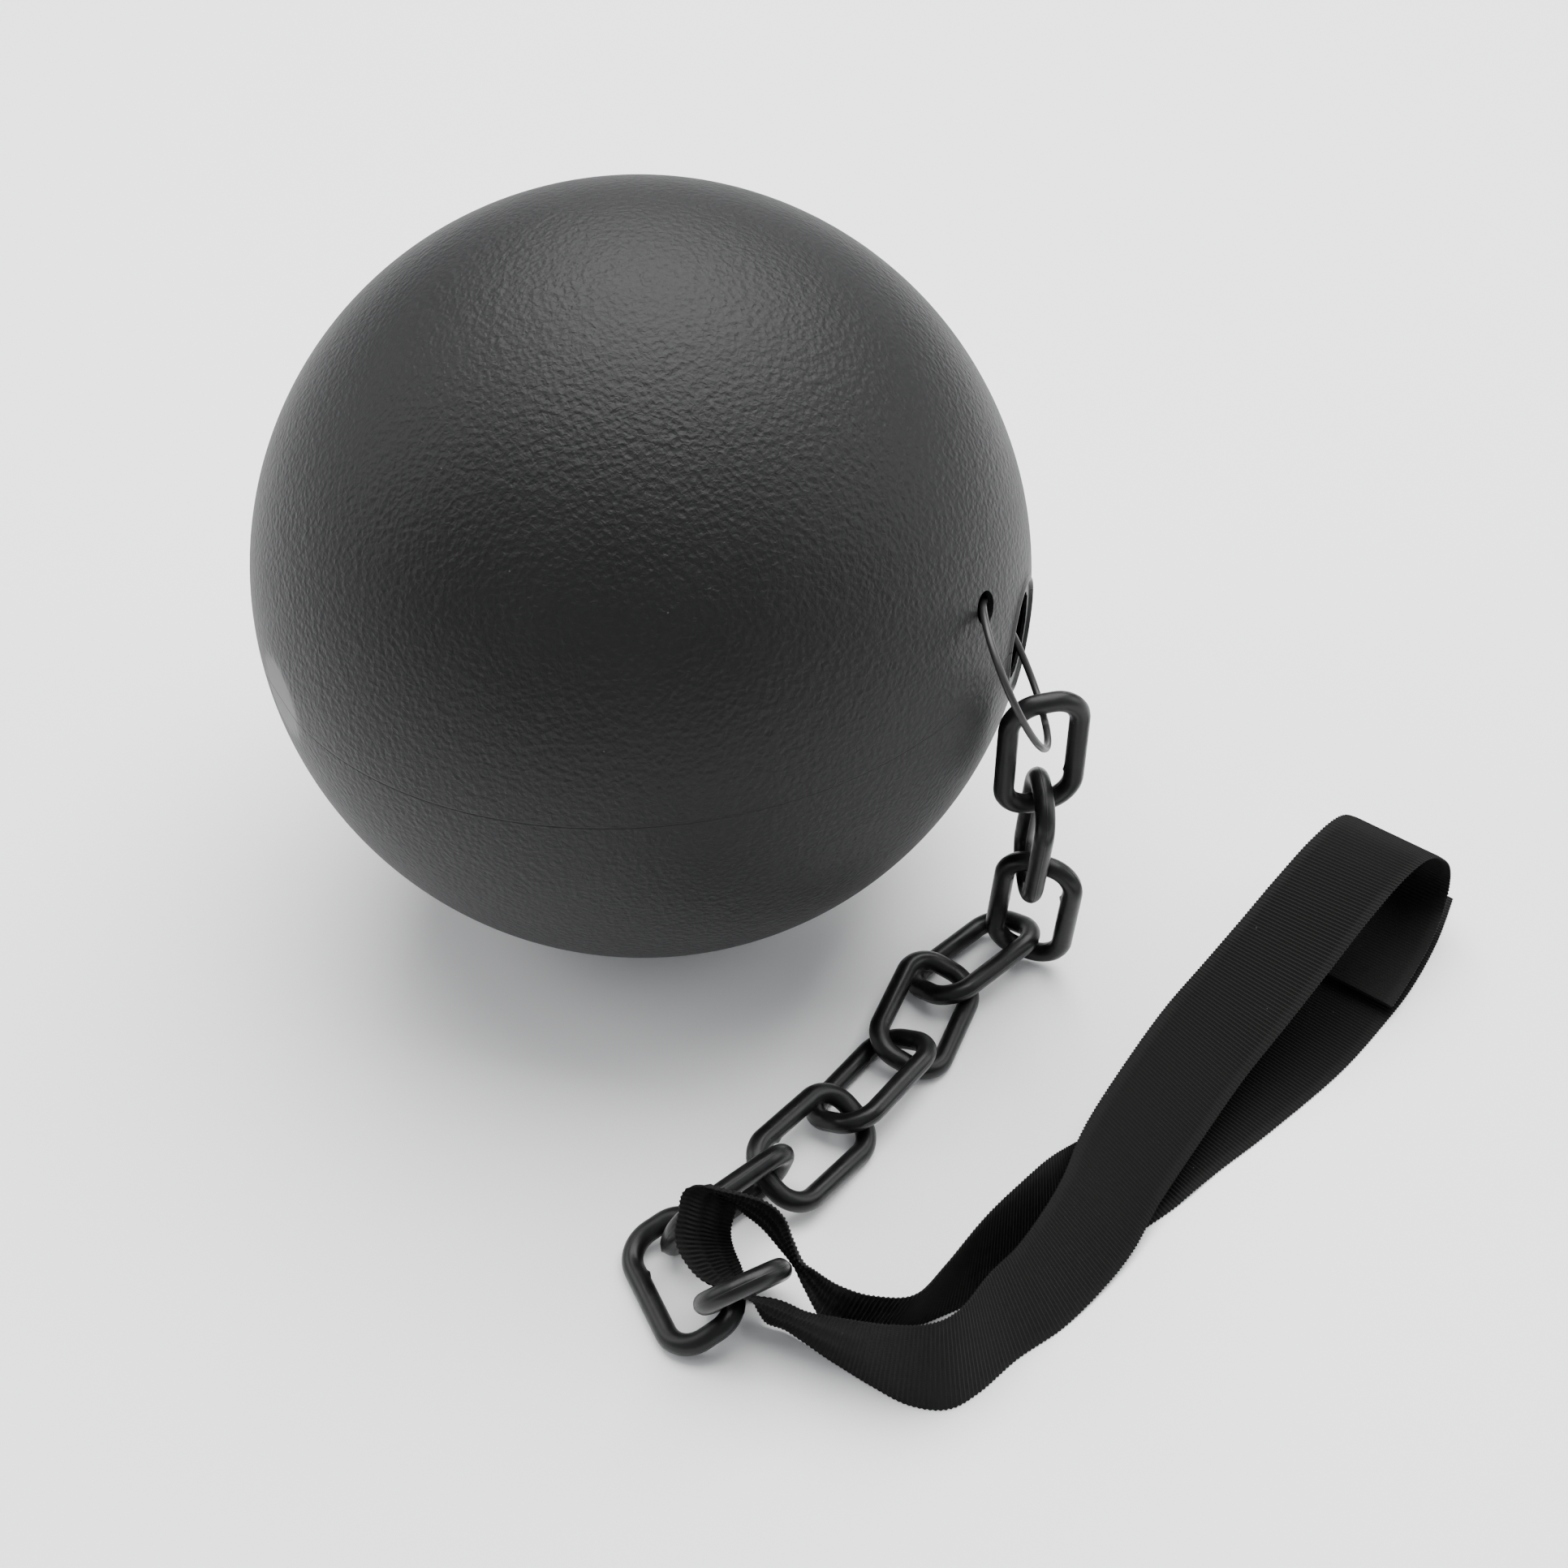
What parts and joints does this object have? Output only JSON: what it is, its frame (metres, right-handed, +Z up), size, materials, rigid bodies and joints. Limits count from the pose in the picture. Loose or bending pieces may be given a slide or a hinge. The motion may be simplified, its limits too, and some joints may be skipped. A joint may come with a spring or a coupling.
{
  "type": "costume ball and chain",
  "caption": "Hollow costume ball with a short plastic chain and a ribbon ankle strap that closes with hook and loop.",
  "frame": {"origin": "where the ball rests on the floor, under its centre", "axes": "+Z up; +X towards the side of the ball that the chain hangs from; -Y towards the front"},
  "size_m": [0.2428, 0.2152, 0.1497],
  "materials": {
    "ball_plastic": "satin, finely pebbled",
    "link_plastic": "semi-gloss",
    "ring_wire": "black coated wire",
    "ribbon": "ribbed grosgrain",
    "hook_tape": "hook side of a touch fastener",
    "loop_tape": "loop side of a touch fastener"
  },
  "bodies": {
    "ball": {"ball_shell": "ball_plastic"},
    "ring": {"wire_ring": "ring_wire"},
    "link_01": {"chain_link_01": "link_plastic"},
    "link_02": {"chain_link_02": "link_plastic"},
    "link_03": {"chain_link_03": "link_plastic"},
    "link_04": {"chain_link_04": "link_plastic"},
    "link_05": {"chain_link_05": "link_plastic"},
    "link_06": {"chain_link_06": "link_plastic"},
    "link_07": {"chain_link_07": "link_plastic"},
    "link_08": {"chain_link_08": "link_plastic"},
    "link_09": {"chain_link_09": "link_plastic"},
    "link_10": {"chain_link_10": "link_plastic"},
    "strap": {"ankle_strap": "ribbon", "closure_hook_patch": "hook_tape", "closure_loop_patch": "loop_tape"}
  },
  "joints": [
    {"name": "ring_swing", "type": "hinge", "parent": "ball", "child": "ring", "pos_m": [0.06661, -0.02943, 0.08502], "axis": [0.3513, 0.5356, -0.7679], "range_deg": [-60, 2]},
    {"name": "link_01_swing", "type": "hinge", "parent": "ring", "child": "link_01", "pos_m": [0.07527, -0.03417, 0.06779], "axis": [-0.146, 0.9677, 0.2057], "range_deg": [-70, 10]},
    {"name": "link_02_swing", "type": "hinge", "parent": "link_01", "child": "link_02", "pos_m": [0.07589, -0.0331, 0.04445], "axis": [-0.9703, -0.2416, -0.0135], "range_deg": [-36, 50]},
    {"name": "link_03_swing", "type": "hinge", "parent": "link_02", "child": "link_03", "pos_m": [0.07537, -0.03178, 0.02286], "axis": [-0.0666, 0.9888, 0.1338], "range_deg": [-8, 60]},
    {"name": "link_04_swing", "type": "hinge", "parent": "link_03", "child": "link_04", "pos_m": [0.07645, -0.03254, 0.0032], "axis": [-0.9373, 0.3384, 0.0835], "range_deg": [-24, 38]},
    {"name": "link_05_swing", "type": "hinge", "parent": "link_04", "child": "link_05", "pos_m": [0.0559, -0.04546, 0.00415], "axis": [0.6061, -0.7105, 0.3575], "range_deg": [-20, 4]},
    {"name": "link_06_swing", "type": "hinge", "parent": "link_05", "child": "link_06", "pos_m": [0.0502, -0.06419, 0.00432], "axis": [0.8703, -0.3381, -0.3581], "range_deg": [-50, 6]},
    {"name": "link_07_swing", "type": "hinge", "parent": "link_06", "child": "link_07", "pos_m": [0.03624, -0.07991, 0.00496], "axis": [0.7238, -0.5454, 0.4226], "range_deg": [-60, 22]},
    {"name": "link_08_swing", "type": "hinge", "parent": "link_07", "child": "link_08", "pos_m": [0.0247, -0.09744, 0.00831], "axis": [0.6579, -0.5802, -0.4801], "range_deg": [-26, 60]},
    {"name": "link_09_swing", "type": "hinge", "parent": "link_08", "child": "link_09", "pos_m": [0.00734, -0.11003, 0.00901], "axis": [0.2191, -0.2185, 0.9509], "range_deg": [-12, 5]},
    {"name": "link_10_swing", "type": "hinge", "parent": "link_09", "child": "link_10", "pos_m": [0.01502, -0.11352, 0.0076], "axis": [0.4067, -0.9134, 0.0175], "range_deg": [-4, 16]},
    {"name": "strap_lift", "type": "hinge", "parent": "link_10", "child": "strap", "pos_m": [0.02017, -0.12378, 0.0131], "axis": [0.65, -0.76, 0], "range_deg": [-1, 12]}
  ]
}
